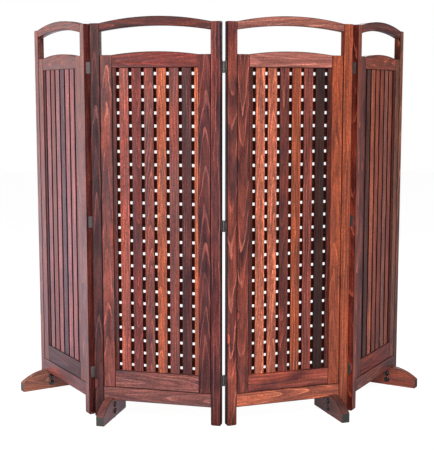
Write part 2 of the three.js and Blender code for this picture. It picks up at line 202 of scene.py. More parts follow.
# What becomes of a stain's colour: where little of it was left, where much was, on the hard late wood that
# takes little stain, and in the heart of a knot.
THIN_STAIN = (1.38, 1.32, 1.2, 1.0)
THICK_STAIN = (0.45, 0.46, 0.62, 1.0)
LATE_WOOD = (2.3, 2.9, 2.7)
KNOT_HEART = (2.2, 1.7, 1.7)

# Each pattern of the wood: how many millimetres it takes to change across a board and along it, how much
# finer detail it has, and how strong that is. The fibres are drawn coarse, so that they show across a room.
WOOD_PATTERNS = {
    "wander": (71.43, 222.2, 3.0, 0.5),
    "fibre": (5.263, 142.86, 3.0, 0.6),
    "band": (12.5, 333.3, 2.0, 0.55),
    "patch": (38.46, 166.67, 3.0, 0.55),
    "mottle": (4.762, 8.3333, 2.0, 0.7),
    "fade": (33.33, 250.0, 1.0, 0.5),
}
KNOT_SPACING = (90.91, 277.78)
# Boards less wild than this have no knots.
KNOTS_FROM = 0.45
# The rings wander by up to a quarter of this, in metres.
WANDER_REACH = 0.032
# How much more a wild board's patches differ, and how much stain an even board shows.
PATCH_CONTRAST = 4.6
EVEN_UPTAKE = 0.45

# Kinds of node, and settings of theirs, that the finishes share.
ATTRIBUTE = "ShaderNodeAttribute"
COORDINATES = "ShaderNodeTexCoord"
SPLIT = "ShaderNodeSeparateXYZ"
NOISE = "ShaderNodeTexNoise"
MATHS = "ShaderNodeMath"
VECTORS = "ShaderNodeVectorMath"
RANGE = "ShaderNodeMapRange"
MIX = "ShaderNodeMix"
BUMP = "ShaderNodeBump"
SHADER = "ShaderNodeBsdfPrincipled"
SURFACE = "ShaderNodeOutputMaterial"
LIGHT_PATH = "ShaderNodeLightPath"
PLUS = {"operation": "ADD"}
MINUS = {"operation": "SUBTRACT"}
TIMES = {"operation": "MULTIPLY"}
SCALED = {"operation": "SCALE"}
LARGER = {"operation": "MAXIMUM"}
UNSIGNED = {"operation": "ABSOLUTE"}
NUMBERS = {"data_type": "FLOAT"}
COLOURS = {"data_type": "RGBA"}


def add(tree, kind, settings=None, inputs=None):
    """Adds a node, sets its properties, and fills its inputs with values, sockets or nodes' first sockets."""
    node = tree.nodes.new(kind)
    for key, value in (settings or {}).items():
        setattr(node, key, value)
    for key, value in (inputs or {}).items():
        if isinstance(value, bpy.types.Node):
            value = value.outputs[0]
        if isinstance(value, bpy.types.NodeSocket):
            tree.links.new(value, node.inputs[key])
        else:
            node.inputs[key].default_value = value
    return node


def new_material(name):
    material = bpy.data.materials.new(name)
    material.use_nodes = True
    tree = material.node_tree
    tree.nodes.clear()
    return material, tree


def stained_softwood(name, ring_mm, streak, seam_and_shade, seam_and_shade_mm, roughness):
    """Sawn softwood under a hand-wiped oil stain and a thin satin coat.

    ring_mm is the growth-ring spacing, drawn coarse so that the figure shows from across a room. streak is
    how strongly the fibres change the tone. seam darkens the long edges, seam_and_shade_mm in from them:
    partly stain that collects in the joints, partly painted shade on the arrises.
    """
    material, tree = new_material(name)
    own = {}
    for title in ("grain", "stain", "place", "board"):
        own[title] = add(tree, ATTRIBUTE, {"attribute_name": title}).outputs
    grain, stain = own["grain"]["Vector"], own["stain"]["Color"]
    pattern = {}
    for title, (across_mm, along_mm, detail, strength) in WOOD_PATTERNS.items():
        cells = (1000 / across_mm, 1000 / across_mm, 1000 / along_mm)
        at = add(tree, VECTORS, TIMES, {0: grain, 1: cells})
        fine = {"Scale": 1.0, "Detail": detail, "Roughness": strength}
        pattern[title] = add(tree, NOISE, None, {"Vector": at} | fine)

    # The board's own numbers: how far in from its long edges a point lies, on the face or on the side that it
    # is on, how wild the figure is, from 0 to 1, and how fast the rings run out along the face.
    spot = add(tree, SPLIT, None, {0: own["place"]["Vector"]}).outputs
    half = add(tree, SPLIT, None, {0: own["board"]["Vector"]}).outputs
    on_face = add(tree, MATHS, MINUS, {0: half[0], 1: add(tree, MATHS, UNSIGNED, {0: spot[0]})})
    on_side = add(tree, MATHS, MINUS, {0: half[1], 1: add(tree, MATHS, UNSIGNED, {0: spot[1]})})
    inset = add(tree, MATHS, LARGER, {0: on_face, 1: on_side})
    slope, wild = spot[2], half[2]

    # The rings lie round the pith, wander slowly along the log, and end in a hard band of late wood.
    centred = add(tree, VECTORS, MINUS, {0: pattern["wander"].outputs["Color"], 1: (0.5, 0.5, 0.5)})
    shift = add(tree, VECTORS, SCALED, {0: centred, "Scale": WANDER_REACH})
    log = add(tree, VECTORS, PLUS, {0: grain, 1: shift})
    flat = add(tree, VECTORS, TIMES, {0: log, 1: (1, 1, 0)})
    radius = add(tree, VECTORS, {"operation": "LENGTH"}, {0: flat}).outputs["Value"]
    along = add(tree, SPLIT, None, {0: grain}).outputs[2]
    run_out = add(tree, MATHS, TIMES, {0: along, 1: slope})
    reach = add(tree, MATHS, PLUS, {0: radius, 1: run_out})
    age = add(tree, MATHS, {"operation": "DIVIDE"}, {0: reach, 1: ring_mm * 0.001})
    season = add(tree, MATHS, {"operation": "FRACT"}, {0: age})
    late = add(tree, RANGE, None, {0: season, 1: 0.76, 2: 0.9, 3: 0.0, 4: 1.0})

    # Where little stain was left the wood is bright, where much was left it is dark and mauve.
    uneven = add(tree, MATHS, MINUS, {0: pattern["patch"], 1: 0.5})
    contrast = add(tree, MATHS, TIMES, {0: wild, 1: PATCH_CONTRAST})
    spread = add(tree, MATHS, TIMES, {0: uneven, 1: contrast})
    uptake = add(tree, MATHS, PLUS | {"use_clamp": True}, {0: spread, 1: EVEN_UPTAKE})
    cast = add(tree, MIX, COLOURS, {0: uptake, 6: THIN_STAIN, 7: THICK_STAIN}).outputs[2]
    ground = add(tree, VECTORS, TIMES, {0: stain, 1: cast})
    # Hard late wood stands out as thin pale lines, which fade in and out along a wild board.
    pale = add(tree, VECTORS, TIMES, {0: stain, 1: LATE_WOOD})
    rubbed = add(tree, RANGE, None, {0: pattern["fade"], 1: 0.4, 2: 0.56, 3: 0.0, 4: 1.0})
    bare = add(tree, MATHS, TIMES, {0: rubbed, 1: wild})
    shown = add(tree, MATHS, TIMES, {0: late, 1: bare})
    figure = add(tree, MIX, COLOURS, {0: shown, 6: ground, 7: pale}).outputs[2]
    # A few pin knots in the wilder boards, pinkish and ringed with dark bark.
    across_cells, along_cells = (1000 / spacing for spacing in KNOT_SPACING)
    knot_at = add(tree, VECTORS, TIMES, {0: log, 1: (across_cells, across_cells, along_cells)})
    nearest = add(tree, "ShaderNodeTexVoronoi", None, {"Vector": knot_at, "Scale": 1.0}).outputs["Distance"]
    clear = add(tree, MATHS, {"operation": "LESS_THAN"}, {0: wild, 1: KNOTS_FROM})
    knot = add(tree, MATHS, PLUS, {0: nearest, 1: clear})
    heart = add(tree, VECTORS, TIMES, {0: stain, 1: KNOT_HEART})
    inside = add(tree, RANGE, None, {0: knot, 1: 0.07, 2: 0.1, 3: 1.0, 4: 0.0})
    figure = add(tree, MIX, COLOURS, {0: inside, 6: figure, 7: heart}).outputs[2]
    from_bark = add(tree, MATHS, UNSIGNED, {0: add(tree, MATHS, MINUS, {0: knot, 1: 0.11})})
    bark = add(tree, RANGE, None, {0: from_bark, 1: 0.0, 2: 0.03, 3: 0.45, 4: 1.0})
    # Darker near the long edges by seam, and with less shine: stain in the joints and painted shade on the
    # arrises.
    rim = add(tree, RANGE, None, {0: inset, 1: 0.001, 2: seam_and_shade_mm * 0.001, 3: 1 - seam_and_shade, 4: 1.0})

    # Each pattern takes the tone from dark to bright between two of its values, by a share of the streak.
    tone = 1.0
    for source, low, high, share in (
        (pattern["fibre"], 0.36, 0.64, 1.0),
        (pattern["band"], 0.3, 0.7, -1.0),
        (pattern["mottle"], 0.3, 0.7, 1.3),
        (season, 0.1, 0.8, 0.5),
    ):
        swing = {3: 1 - share * streak, 4: 1 + share * streak}
        change = add(tree, RANGE, None, {0: source, 1: low, 2: high} | swing)
        tone = add(tree, MATHS, TIMES, {0: tone, 1: change})
    for shade in (bark, rim):
        tone = add(tree, MATHS, TIMES, {0: tone, 1: shade})

    # The coat is uneven. Near the edges and in the pockets, where shade is painted, it is thin and the wood
    # has little shine.
    kept = add(tree, MATHS, TIMES, {0: own["stain"]["Alpha"], 1: rim})
    uneven_coat = add(tree, RANGE, None, {0: pattern["band"], 1: 0.3, 2: 0.7, 3: 0.2, 4: 0.7})
    satin = {3: roughness - 0.06, 4: roughness + 0.08}
    relief = add(tree, MATHS, PLUS, {0: pattern["fibre"], 1: late})
    look = {
        "Base Color": add(tree, VECTORS, SCALED, {0: figure, "Scale": tone}),
        "Specular IOR Level": add(tree, MATHS, TIMES, {0: kept, 1: uneven_coat}),
        "Roughness": add(tree, RANGE, None, {0: pattern["fibre"], 1: 0.3, 2: 0.7} | satin),
        "Normal": add(tree, BUMP, None, {"Height": relief, "Strength": 0.35, "Distance": 0.0004}),
    }
    add(tree, SURFACE, None, {"Surface": add(tree, SHADER, None, look)})
    return material


def stained_end_grain():
    """The sawn end of a board: open pores drink the stain, so it is nearly black, matt, with ring arcs.

    The rings are 4 mm apart here, and the pores, drawn coarse, 2 mm apart and 25 mm long.
    """
    material, tree = new_material("stained_softwood_end_grain")
    grain = add(tree, ATTRIBUTE, {"attribute_name": "grain"}).outputs["Vector"]
    stain = add(tree, ATTRIBUTE, {"attribute_name": "stain"}).outputs["Color"]
    # A ring wave of scale 1 repeats every 0.314 m.
    ring_scale = 0.314 / 0.004
    rings = add(
        tree,
        "ShaderNodeTexWave",
        {"wave_type": "RINGS", "rings_direction": "Z", "wave_profile": "SIN"},
        {"Vector": grain, "Scale": ring_scale, "Distortion": 1.2, "Detail": 2.0, "Detail Scale": 0.4},
    )
    pores_at = add(tree, VECTORS, TIMES, {0: grain, 1: (1000 / 2, 1000 / 2, 1000 / 25)})
    pores = add(tree, NOISE, None, {"Vector": pores_at, "Scale": 1.0, "Detail": 3.0})
    soaked = add(tree, MIX, COLOURS, {0: 0.85, 6: stain, 7: linear("#303c37")}).outputs[2]
    arcs = add(tree, RANGE, None, {0: rings.outputs["Fac"], 1: 0.0, 2: 1.0, 3: 0.75, 4: 1.15})
    spots = add(tree, RANGE, None, {0: pores, 1: 0.3, 2: 0.7, 3: 0.8, 4: 1.2})
    tone = add(tree, MATHS, TIMES, {0: arcs, 1: spots})
    look = {
        "Base Color": add(tree, VECTORS, SCALED, {0: soaked, "Scale": tone}),
        "Roughness": 0.7,
        "Normal": add(tree, BUMP, None, {"Height": pores, "Strength": 0.4, "Distance": 0.0004}),
    }
    add(tree, SURFACE, None, {"Surface": add(tree, SHADER, None, look)})
    return material


def zinc_plated_steel():
    """Stamped steel with dulled zinc plate: mid grey, softly mirrored.

    It has faint drawing lines, about 1.1 mm apart and 17 mm long, and handling marks of about 8 mm.
    """
    material, tree = new_material("zinc_plated_stamped_steel")
    place = add(tree, COORDINATES).outputs["Object"]
    lines_at = add(tree, VECTORS, TIMES, {0: place, 1: (1000 / 1.1111, 1000 / 1.1111, 1000 / 16.667)})
    lines = add(tree, NOISE, None, {"Vector": lines_at, "Scale": 1.0, "Detail": 2.0})
    marks = add(tree, NOISE, None, {"Vector": place, "Scale": 1000 / 7.6923, "Detail": 3.0})
    colour = add(tree, MIX, COLOURS, {0: marks, 6: linear("#a7a3a0"), 7: linear("#807a78")})
    look = {
        "Base Color": colour.outputs[2],
        "Metallic": 1.0,
        "Roughness": add(tree, RANGE, None, {0: lines, 1: 0.3, 2: 0.7, 3: 0.32, 4: 0.5}),
        "Normal": add(tree, BUMP, None, {"Height": lines, "Strength": 0.2, "Distance": 0.0001}),
    }
    add(tree, SURFACE, None, {"Surface": add(tree, SHADER, None, look)})
    return material


def black_moulded_plastic():
    """Black ABS moulded in a polished tool: deep gloss that a faint ripple, 4.5 mm long, breaks up.

    Dust, drawn coarse at about 1 mm, dulls it here and there.
    """
    material, tree = new_material("black_gloss_moulded_abs")
    place = add(tree, COORDINATES).outputs["Object"]
    ripple = add(tree, NOISE, None, {"Vector": place, "Scale": 1000 / 4.5455, "Detail": 1.0})
    dust = add(tree, NOISE, None, {"Vector": place, "Scale": 1000 / 1.1111, "Detail": 2.0})
    colour = add(tree, MIX, COLOURS, {0: dust, 6: linear("#0c0c0d"), 7: linear("#1c1b1c")})
    look = {
        "Base Color": colour.outputs[2],
        "Roughness": add(tree, RANGE, None, {0: dust, 1: 0.3, 2: 0.7, 3: 0.14, 4: 0.26}),
        "IOR": 1.54,
        "Normal": add(tree, BUMP, None, {"Height": ripple, "Strength": 0.15, "Distance": 0.0002}),
    }
    add(tree, SURFACE, None, {"Surface": add(tree, SHADER, None, look)})
    return material


# Each wood: ring spacing, streak, how dark the long edges are painted (stain in the joints and painted shade)
# and how far in, and roughness.
WOODS = {
    "frame": dict(ring_mm=15.0, streak=0.3, seam_and_shade=0.8, seam_and_shade_mm=3.4, roughness=0.42),
    "inner_frame": dict(ring_mm=15.0, streak=0.3, seam_and_shade=0.85, seam_and_shade_mm=3.4, roughness=0.42),
    "slats": dict(ring_mm=11.0, streak=0.37, seam_and_shade=0.3, seam_and_shade_mm=1.6, roughness=0.46),
    "feet": dict(ring_mm=9.0, streak=0.22, seam_and_shade=0.6, seam_and_shade_mm=3.0, roughness=0.45),
}
end_grain = stained_end_grain()
FINISH = {"hinges": [zinc_plated_steel()], "knobs": [black_moulded_plastic()]}
for wood_use, wood in WOODS.items():
    # A board's second material is for its sawn ends.
    FINISH[wood_use] = [stained_softwood(f"oil_stained_softwood_{wood_use}", **wood), end_grain]
SLOTS = {
    "frame": "stained_frame_wood",
    "inner_frame": "stained_inner_frame_wood",
    "slats": "stained_slat_wood",
    "feet": "stained_foot_wood",
    "hinges": "zinc_plated_steel",
    "knobs": "black_moulded_plastic",
}

# ------------------------------------------------------------------ boards

AXIS = {"x": 0, "y": 1, "z": 2}
# A flat-sawn board has the pith close behind it, and its rings run out along the face in nested arches.
# Another has the pith beside it and shows straight lines.
FLAT_ACROSS, FLAT_THROUGH, FLAT_SLOPE = (-9, 9), (1, 6), (0.06, 0.11)
STRAIGHT_ACROSS, STRAIGHT_THROUGH, STRAIGHT_SLOPE = (30, 70), (-20, 20), (-0.01, 0.01)
LOG_TWIST, LOG_LENGTH = (-0.006, 0.006), (-4000, 4000)
# How much boards of one stain differ, and how often a board is flat-sawn.
SHADES = (0.93, 1.07)
BOARDS_FLAT_SAWN, SLATS_FLAT_SAWN = 0.7, 0.3
# How wild the figure of a board or a slat is where its stain doesn't say so.
BOARD_FIGURE, SLAT_FIGURE = 0.4, 0.42
# What is left of the coat's shine where shade is painted: in the pockets between the slats, on the slats'
# sides and on the shaded stile sides.
SHADED_COAT = 0.1


def new_work():
    work = bmesh.new()
    work.verts.layers.int.new("marked")
    work.verts.layers.float_vector.new("grain")
    work.verts.layers.float_color.new("stain")
    work.verts.layers.float_vector.new("place")
    work.verts.layers.float_vector.new("board")
    return work


def unmarked(work):
    layer = work.verts.layers.int["marked"]
    return [v for v in work.verts if not v[layer]]


def sharp_edges(verts, above=30):
    """Edges of the new board that fold more sharply than this angle."""
    edges = {e for v in verts for e in v.link_edges}
    return [e for e in edges if len(e.link_faces) == 2 and e.calc_face_angle(0) > math.radians(above)]


def soften(work, edges, width, segments=2):
    bmesh.ops.bevel(
        work,
        geom=edges,
        offset=width,
        affect="EDGES",
        segments=segments,
        profile=0.5,
        material=-1,
        clamp_overlap=True,
    )


def cut_cube(work, low, high):
    verts = bmesh.ops.create_cube(work, size=1.0)["verts"]
    low, high = Vector(low), Vector(high)
    bmesh.ops.scale(work, vec=high - low, verts=verts)
    bmesh.ops.translate(work, vec=(low + high) / 2, verts=verts)
    return verts


def slice_along(work, axis, positions):
    """Cuts the new board across at each position, so that its outline can be drawn there."""
    normal = Vector((0, 0, 0))
    normal[AXIS[axis]] = 1
    for position in positions:
        verts = unmarked(work)
        geom = set(verts)
        geom.update(e for v in verts for e in v.link_edges)
        geom.update(f for v in verts for f in v.link_faces)
        bmesh.ops.bisect_plane(work, geom=list(geom), plane_co=normal * position, plane_no=normal)


def log_place(flat_sawn):
    """Where in the log a board was sawn, in millimetres from the pith, and how its rings run out along it."""
    side = chance.choice((-1, 1))
    if flat_sawn:
        across, through = chance.uniform(*FLAT_ACROSS), side * chance.uniform(*FLAT_THROUGH)
        slope = chance.choice((-1, 1)) * chance.uniform(*FLAT_SLOPE)
    else:
        across, through = side * chance.uniform(*STRAIGHT_ACROSS), chance.uniform(*STRAIGHT_THROUGH)
        slope = chance.uniform(*STRAIGHT_SLOPE)
    return {
        "across": across,
        "through": through,
        "slope": slope,
        "twist": chance.uniform(*LOG_TWIST),
        "along": chance.uniform(*LOG_LENGTH),
    }


def mark_board(
    work,
    low,
    high,
    along,
    stain,
    across,
    outline=None,
    in_shade=None,
    flat_sawn=BOARDS_FLAT_SAWN,
    figure=BOARD_FIGURE,
):
    """Gives the new board its grain, stain and edge distances, and its sawn ends their own finish.

    shut tells which points get painted shade, the slats' sides and the cross slats' fronts in the pockets:
    they are painted near black, with hardly any coat. flat_sawn is how often such a board is, and figure
    is how wild it is unless its stain says so.
    """
    low, high = Vector(low), Vector(high)
    middle = (low + high) / 2
    a, l = AXIS[across], AXIS[along]
    t = 3 - a - l
    log = log_place(chance.random() < flat_sawn)
    shade = chance.uniform(*SHADES)
    stain, wild = stain if isinstance(stain, tuple) else (stain, figure)
    colour = [c * shade for c in linear(STAINS[stain])[:3]] + [DULLED.get(stain, 1.0)]
    shade_colour = linear(STAINS["painted_shade"])[:3] + [SHADED_COAT]
    marked = work.verts.layers.int["marked"]
    grain = work.verts.layers.float_vector["grain"]
    tint = work.verts.layers.float_color["stain"]
    place = work.verts.layers.float_vector["place"]
    board = work.verts.layers.float_vector["board"]
    fresh = unmarked(work)
    for v in fresh:
        p = v.co - middle
        down, up = outline(v.co[l]) if outline else (low[a], high[a])
        v[grain] = Vector(
            (
                (p[a] + log["across"] + log["twist"] * p[l]) * 0.001,
                (p[t] + log["through"]) * 0.001,
                (p[l] + log["along"]) * 0.001,
            )
        )
        v[tint] = shade_colour if in_shade and in_shade(v.co) else colour
        v[place] = Vector(((v.co[a] - (down + up) / 2) * 0.001, p[t] * 0.001, log["slope"]))
        v[board] = Vector(((up - down) * 0.0005, (high[t] - low[t]) * 0.0005, wild))
        v[marked] = 1
    for face in {f for v in fresh for f in v.link_faces}:
        face.normal_update()
        face.material_index = 1 if abs(face.normal[l]) > 0.9 else 0


def plain_board(work, low, high, along, across, stain, arris=ARRIS):
    soften(work, sharp_edges(cut_cube(work, low, high)), arris)
    mark_board(work, low, high, along, stain, across)


def thin_slat(work, low, high, along, across, stain, in_shade):
    """A slat ripped from straight-grained stock, with its arrises barely broken."""
    soften(work, sharp_edges(cut_cube(work, low, high)), SLAT_ARRIS, segments=1)
    mark_board(work, low, high, along, stain, across, None, in_shade, SLATS_FLAT_SAWN, SLAT_FIGURE)


def arc_rise(at, low, high, rise):
    """Height of a shallow arc over its springing line."""
    half = (high - low) / 2
    radius = (half * half + rise * rise) / (2 * rise)
    off = min(abs(at - (low + high) / 2), half)
    return rise - radius + math.sqrt(radius * radius - off * off)


def arched_rail(work, low, high, under_rise, over_rise, stain):
    """A rail with an arched top, and an arched or straight underside."""
    (x0, _, z0), (x1, _, z1) = low, high
    cut_cube(work, low, high)
    slice_along(work, "x", [x0 + (x1 - x0) * i / ARCH_STEPS for i in range(1, ARCH_STEPS)])

    def outline(x):
        under = z0 + arc_rise(x, x0, x1, under_rise) if under_rise else z0
        return under, z1 + arc_rise(x, x0, x1, over_rise)

    for v in unmarked(work):
        v.co.z = outline(v.co.x)[1 if v.co.z > (z0 + z1) / 2 else 0]
    soften(work, sharp_edges(unmarked(work)), ARRIS)
    mark_board(work, low, high, "x", stain, "z", outline)


# ------------------------------------------------------------------ pieces


def finish_piece(work, name, panel, use, nodes, smooth_below=None):
    """Moves the work to its panel, makes it an object on that panel, and lets it stand for its CAD nodes."""
    marked = work.verts.layers.int.get("marked")
    if marked:
        work.verts.layers.int.remove(marked)
    bmesh.ops.transform(work, matrix=PLACE[panel], verts=work.verts)
    mesh = bpy.data.meshes.new(name)
    work.to_mesh(mesh)
    work.free()
    materials, slot = FINISH[use], SLOTS[use]
    for material in materials:
        mesh.materials.append(material)
    if smooth_below:
        mesh.shade_smooth()
        mesh.set_sharp_from_angle(angle=math.radians(smooth_below))
    piece = bpy.data.objects.new(name, mesh)
    bpy.context.scene.collection.objects.link(piece)
    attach(piece, f"panel_{panel}")
    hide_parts(*nodes)


def spans(low, high, count, width, gap):
    """Full slats with equal gaps, and a part slat at each end that runs into the groove."""
    field = count * width + (count + 1) * gap
    first = (low + high - field) / 2
    row = [(low - GROOVE, first)]
    for i in range(count):
        start = first + gap + i * (width + gap)
        row.append((start, start + width))
    row.append((first + field, high + GROOVE))
    return row


# The stain of each board, panel by panel, from left to right, and for some how wild their figure is.
BOARDS = {
    1: {
        "left_stile": ("clay", 0.4),
        "right_stile": ("clay", 0.6),
        "top": ("russet", 0.6),
        "bottom": "russet",
        "inner": ("russet", "umber", "clay"),
        "middle": "russet",
        "slats": ("umber", "mauve", "russet", "mauve", "slate", "mauve", "mauve", "russet"),
    },
    2: {
        "left_stile": ("umber", 0.9),
        "right_stile": ("plum", 1.1),
        "top": ("oxblood", 0.6),
        "bottom": ("clay", 0.3),
        "inner": (("russet", 1.0), ("clay", 0.4), ("plum", 1.0)),
        "middle": ("maroon", 0.3),
        "slats": ("oxblood", "brick", "maroon", ("russet", 0.6), "rust", "russet", ("umber", 0.6), "rust"),
    },
    3: {
        "left_stile": ("brick", 0.8),
        "right_stile": ("rust", 0.3),
        "top": ("sienna", 0.3),
        "bottom": ("amber", 0.5),
        "inner": (("russet", 1.0), ("brick", 0.9), ("rust", 0.3)),
        "middle": ("dusty", 0.2),
        "slats": ("oxblood", "amber", "amber", "russet", "rust", ("brick", 0.5), ("ebony", 0.3), "oxblood"),
    },
    4: {
        "left_stile": ("cedar", 0.7),
        "right_stile": ("hazel", 0.7),
        "top": ("clay", 0.5),
        "bottom": ("clay", 0.4),
        "inner": (("clay", 0.6), "garnet", ("hazel", 0.5)),
        "middle": ("cedar", 0.4),
        "slats": (
            "oxblood",
            ("walnut", 0.5),
            ("amber", 0.4),
            ("cedar", 0.6),
            "cedar",
            ("sienna", 0.6),
            "cedar",
            "oxblood",
        ),
    },
}
CROSS_STAINS = ("russet", "oxblood", "plum", "russet", "brick")
FOOT_SIDE = {1: "left", 2: "left", 3: "right", 4: "right"}
FOOT_STAINS = {1: "hazel", 2: "clay", 3: "walnut", 4: "cedar"}
# Stile sides painted darker as shade, where they face the gaps between the panels or the openings under the
# top
# rails: what part of the colour is left at the floor and at the top.
SHADED_SIDES = {
    (1, "right", "outer"): (0.9, 0.6),
    (2, "right", "outer"): (0.25, 0.25),
    (3, "left", "outer"): (0.13, 0.13),
    (3, "right", "inner"): (0.4, 0.4),
    (4, "left", "outer"): (0.7, 0.42),
    (4, "right", "inner"): (0.3, 0.3),
}
# Painted shade on those sides is redder: what part of each colour channel is kept.
SHADE_RED = (1.0, 0.7, 0.7)
# The legs are darker towards the floor, up to this height: what part of the colour is left at the floor.
DARKER_LEG_HEIGHT = 120.0
DARKER_LEG_ENDS = {(2, "left"): 0.5, (2, "right"): 0.5, (3, "left"): 0.35, (4, "left"): 0.9}

inner_left = STILE_WIDTH
inner_right = PANEL_WIDTH - STILE_WIDTH
lattice_left = inner_left + INNER_STILE_WIDTH
lattice_right = inner_right - INNER_STILE_WIDTH


def stile(panel, side):
    """A stile with its leg: square arrises rubbed round, and a planed chamfer round the leg's end."""
    x0 = 0 if side == "left" else inner_right
    low, high = (x0, 0, 0), (x0 + STILE_WIDTH, PANEL_THICKNESS, PANEL_HEIGHT)
    work = new_work()
    verts = cut_cube(work, low, high)
    edges = {e for v in verts for e in v.link_edges}
    foot_edges = [e for e in edges if all(v.co.z < 1 for v in e.verts)]
    soften(work, foot_edges, LEG_CHAMFER, segments=1)
    rest = [e for e in sharp_edges(unmarked(work)) if max(v.co.z for v in e.verts) > LEG_CHAMFER + 1]
    soften(work, rest, STILE_ARRIS)
    slice_along(work, "z", [DARKER_LEG_HEIGHT])
    mark_board(work, low, high, "z", BOARDS[panel][f"{side}_stile"], "x")
    outer, inner = (x0, x0 + STILE_WIDTH) if side == "left" else (x0 + STILE_WIDTH, x0)
    # Each leg is darker towards the floor, with less shine there.
    floor_share = DARKER_LEG_ENDS.get((panel, side), 0.6)
    tint = work.verts.layers.float_color["stain"]
    for v in work.verts:
        share = floor_share + (1 - floor_share) * min(v.co.z / DARKER_LEG_HEIGHT, 1)
        coat = v[tint][3] * share
        # The sides listed in SHADED_SIDES get painted shade: darker, redder, and with little shine.
        for name, x in (("outer", outer), ("inner", inner)):
            ends = SHADED_SIDES.get((panel, side, name))
            if ends and abs(v.co.x - x) < NEAR:
                share *= ends[0] + (ends[1] - ends[0]) * v.co.z / PANEL_HEIGHT
                coat *= SHADED_COAT
                v[tint] = [c * part for c, part in zip(v[tint][:3], SHADE_RED)] + [coat]
        v[tint] = [c * share for c in v[tint][:3]] + [coat]
    finish_piece(work, f"{side}_stile_board_{panel}", panel, "frame", [f"{side}_stile_{panel}"])


def outer_rails(panel):
    """The arched top rail and the straight bottom rail, between the stiles."""
    x0, x1 = inner_left + SEAM, inner_right - SEAM
    work = new_work()
    low, high = (x0, 0, TOP_RAIL_LOW), (x1, PANEL_THICKNESS, PANEL_HEIGHT)
    arched_rail(work, low, high, TOP_UNDER_RISE, TOP_RISE, BOARDS[panel]["top"])
    finish_piece(work, f"arched_top_board_{panel}", panel, "frame", [f"arched_top_rail_{panel}"])
    work = new_work()
    low, high = (x0, 0, BOTTOM_RAIL_LOW), (x1, PANEL_THICKNESS, BOTTOM_RAIL_TOP)
    plain_board(work, low, high, "x", "z", BOARDS[panel]["bottom"])
    finish_piece(work, f"bottom_board_{panel}", panel, "frame", [f"bottom_rail_{panel}"])


def inner_frame(panel):
    """Two inner stiles with a low board between them, set back a little from the outer frame's faces."""
    left, bottom, right = BOARDS[panel]["inner"]
    z0 = BOTTOM_RAIL_TOP + SEAM
    work = new_work()
    for x0, x1, z1, along, across, stain in (
        (inner_left + SEAM, lattice_left, INNER_SHOULDER, "z", "x", left),
        (lattice_right, inner_right - SEAM, INNER_SHOULDER, "z", "x", right),
        (lattice_left + SEAM, lattice_right - SEAM, LATTICE_LOW, "x", "z", bottom),
    ):
        plain_board(work, (x0, INNER_FRONT, z0), (x1, INNER_BACK, z1), along, across, stain)
    finish_piece(work, f"inner_frame_boards_{panel}", panel, "inner_frame", [f"inner_frame_{panel}"])
    work = new_work()
    low = (lattice_left + SEAM, INNER_FRONT, LATTICE_TOP)
    high = (lattice_right - SEAM, INNER_BACK, INNER_SHOULDER)
    arched_rail(work, low, high, 0, INNER_RISE, BOARDS[panel]["middle"])
    finish_piece(work, f"arched_middle_board_{panel}", panel, "inner_frame", [f"inner_top_rail_{panel}"])


def lattice(panel):
    """Thin slats, upright in front and across behind, each a board of its own, glued where they cross."""
    low, high = LATTICE_LOW - GROOVE, LATTICE_TOP + GROOVE
    left, right = lattice_left - GROOVE, lattice_right + GROOVE
    uprights = spans(lattice_left, lattice_right, UPRIGHT_COUNT, UPRIGHT_WIDTH, UPRIGHT_GAP)
    edges = [x for pair in uprights for x in pair]

    # Painted shade goes on the upright slats' sides and on the cross slats' fronts, in the pockets.
    def on_shaded_side(at):
        return min(abs(at.x - x) for x in edges) < NEAR

    def in_pocket_shade(at):
        return at.y < (SLAT_MID + SLAT_BACK) / 2

    work = new_work()
    for (x0, x1), stain in zip(uprights, BOARDS[panel]["slats"]):
        start, end = (x0, SLAT_FRONT, low), (x1, SLAT_MID - GLUE_LINE, high)
        thin_slat(work, start, end, "z", "x", stain, on_shaded_side)
    finish_piece(work, f"upright_slats_{panel}", panel, "slats", [f"slat_lattice_{panel}"])
    work = new_work()
    for z0, z1 in spans(LATTICE_LOW, LATTICE_TOP, CROSS_COUNT, CROSS_WIDTH, CROSS_GAP):
        start, end = (left, SLAT_MID + GLUE_LINE, z0), (right, SLAT_BACK, z1)
        thin_slat(work, start, end, "x", "z", chance.choice(CROSS_STAINS), in_pocket_shade)
    finish_piece(work, f"cross_slats_{panel}", panel, "slats", [f"slat_lattice_{panel}"])


def on_side(panel, near, far):
    """A span of distances from the panel's edge, on the side where its foot is."""
    if FOOT_SIDE[panel] == "left":
        return near, far
    return PANEL_WIDTH - far, PANEL_WIDTH - near


